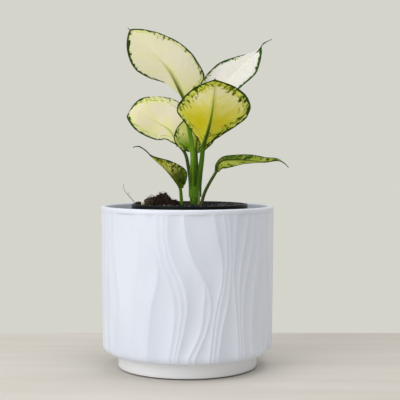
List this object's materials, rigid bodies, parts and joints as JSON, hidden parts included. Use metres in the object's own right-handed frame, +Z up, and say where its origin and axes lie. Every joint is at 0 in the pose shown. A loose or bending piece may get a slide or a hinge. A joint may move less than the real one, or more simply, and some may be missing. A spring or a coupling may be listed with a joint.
{
  "type": "potted chinese evergreen",
  "caption": "Young Chinese evergreen with cream, green-edged leaves in a nursery pot that stands in a white ceramic cover pot with a wavy relief.",
  "frame": {"origin": "middle of the flat underside of the cover pot's foot", "axes": "+Z up along the pots; -Y is the front, the side that the large front leaf leans towards; +X to its right"},
  "size_m": [0.1616, 0.15, 0.295],
  "materials": {
    "white_glaze": "satin",
    "black_plastic": "satin",
    "potting_soil": "matte",
    "coir": "matte",
    "bark": "matte",
    "perlite": "matte",
    "leaf": "satin",
    "stalk": "satin"
  },
  "bodies": {
    "root": {"cover_pot": "white_glaze", "nursery_pot": "black_plastic", "potting_soil": "potting_soil", "coir_clump": "coir", "bark_chip_1": "bark", "bark_chip_2": "bark", "perlite_1": "perlite", "dry_root": "bark", "stem": "stalk", "upper_left_stalk": "stalk", "upper_left_leaf": "leaf", "upper_right_stalk": "stalk", "upper_right_leaf": "leaf", "front_stalk": "stalk", "front_leaf": "leaf", "left_stalk": "stalk", "left_leaf": "leaf", "low_left_stalk": "stalk", "low_left_leaf": "leaf", "low_right_stalk": "stalk", "low_right_leaf": "leaf", "back_stalk": "stalk", "back_leaf": "leaf"}
  },
  "joints": []
}
